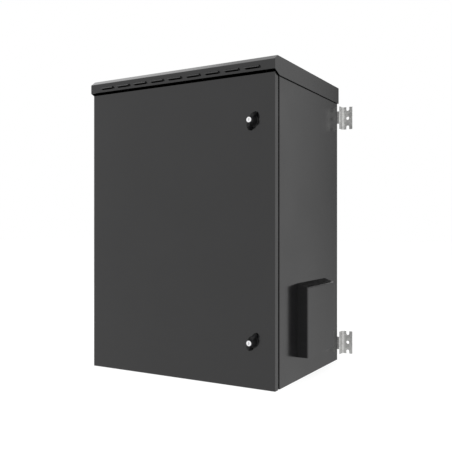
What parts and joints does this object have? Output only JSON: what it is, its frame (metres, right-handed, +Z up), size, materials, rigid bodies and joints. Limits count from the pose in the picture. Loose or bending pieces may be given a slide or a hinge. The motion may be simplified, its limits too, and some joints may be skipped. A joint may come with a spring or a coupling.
{
  "type": "wall mount network cabinet",
  "caption": "Wall-mounted steel rack cabinet with a hinged front door, wing-knob locks, louvred rain roof, side vent hood with fan, sliding rack rails and wall brackets.",
  "frame": {"origin": "under the middle of the cabinet's overall box, on the plane of its underside", "axes": "+X to the right seen from the front, +Y from the door towards the wall, +Z up"},
  "size_m": [0.679, 0.5016, 0.85],
  "materials": {
    "powder_coat": "semi-gloss powder coat",
    "zinc_steel": "bright zinc plated",
    "galvanised_steel": "galvanised",
    "chrome": "polished",
    "lock_plastic": "fine grain",
    "fan_plastic": "matt",
    "rubber": "matt",
    "filter_fleece": "fleece"
  },
  "bodies": {
    "cabinet": {"body_wrap": "powder_coat", "bottom_plate": "powder_coat", "top_plate": "powder_coat", "front_frame": "powder_coat", "sealing_face": "powder_coat", "canopy_roof": "powder_coat", "roof_studs": "zinc_steel", "roof_spacers": "zinc_steel", "roof_nuts": "zinc_steel", "wall_bracket_right_lower": "galvanised_steel", "wall_bracket_left_lower": "galvanised_steel", "wall_bracket_right_upper": "galvanised_steel", "wall_bracket_left_upper": "galvanised_steel", "bracket_bolts": "zinc_steel", "bracket_nuts": "zinc_steel", "depth_rail_right_lower": "galvanised_steel", "depth_rail_left_lower": "galvanised_steel", "depth_rail_right_upper": "galvanised_steel", "depth_rail_left_upper": "galvanised_steel", "vent_hood": "powder_coat", "hood_rivets": "powder_coat", "filter_frame": "fan_plastic", "filter_mat": "filter_fleece", "fan_frame": "fan_plastic", "finger_guard": "zinc_steel", "fan_screws": "zinc_steel", "fan_nuts": "zinc_steel", "gland_gasket": "rubber", "gland_plate": "powder_coat", "cable_trim": "rubber", "gland_screws": "zinc_steel", "earth_stud": "zinc_steel", "earth_nut": "zinc_steel", "hinge_body_leaves": "zinc_steel", "hinge_pins": "zinc_steel"},
    "door": {"door_panel": "powder_coat", "door_gasket": "rubber", "door_stiffener_left": "galvanised_steel", "door_stiffener_right": "galvanised_steel", "hinge_door_leaves": "zinc_steel", "hinge_screws": "zinc_steel", "lock_housings": "lock_plastic", "lock_nuts": "zinc_steel"},
    "upper_lock": {"upper_lock_knob": "lock_plastic", "upper_lock_cam": "zinc_steel", "upper_cam_bolt": "zinc_steel"},
    "lower_lock": {"lower_lock_knob": "lock_plastic", "lower_lock_cam": "zinc_steel", "lower_cam_bolt": "zinc_steel"},
    "upper_key": {"upper_key_plug": "chrome"},
    "lower_key": {"lower_key_plug": "chrome"},
    "fan_rotor": {"fan_impeller": "fan_plastic", "fan_shaft": "zinc_steel"},
    "right_rack": {"rack_rail_right": "galvanised_steel", "rail_bolts_right": "zinc_steel", "rail_nuts_right": "zinc_steel"},
    "left_rack": {"rack_rail_left": "galvanised_steel", "rail_bolts_left": "zinc_steel", "rail_nuts_left": "zinc_steel"}
  },
  "joints": [
    {"name": "door_hinge", "type": "hinge", "parent": "cabinet", "child": "door", "pos_m": [-0.288, -0.21975, 0.4037], "axis": [0, 0, -1], "range_deg": [0, 120]},
    {"name": "lower_lock_turn", "type": "hinge", "parent": "door", "child": "lower_lock", "pos_m": [0.2378, -0.22675, 0.12], "axis": [0, 1, 0], "range_deg": [0, 90]},
    {"name": "lower_key_turn", "type": "hinge", "parent": "lower_lock", "child": "lower_key", "pos_m": [0.2378, -0.24675, 0.12], "axis": [0, 1, 0], "range_deg": [0, 90]},
    {"name": "upper_lock_turn", "type": "hinge", "parent": "door", "child": "upper_lock", "pos_m": [0.2378, -0.22675, 0.6874], "axis": [0, 1, 0], "range_deg": [0, 90]},
    {"name": "upper_key_turn", "type": "hinge", "parent": "upper_lock", "child": "upper_key", "pos_m": [0.2378, -0.24675, 0.6874], "axis": [0, 1, 0], "range_deg": [0, 90]},
    {"name": "fan_spin", "type": "hinge", "parent": "cabinet", "child": "fan_rotor", "pos_m": [0.276, 0.01425, 0.166], "axis": [1, 0, 0], "continuous": true},
    {"name": "right_rail_slide", "type": "slide", "parent": "cabinet", "child": "right_rack", "axis": [0, 1, 0], "range_m": [-0.024, 0.318]},
    {"name": "left_rail_slide", "type": "slide", "parent": "cabinet", "child": "left_rack", "axis": [0, 1, 0], "range_m": [-0.024, 0.318]}
  ]
}
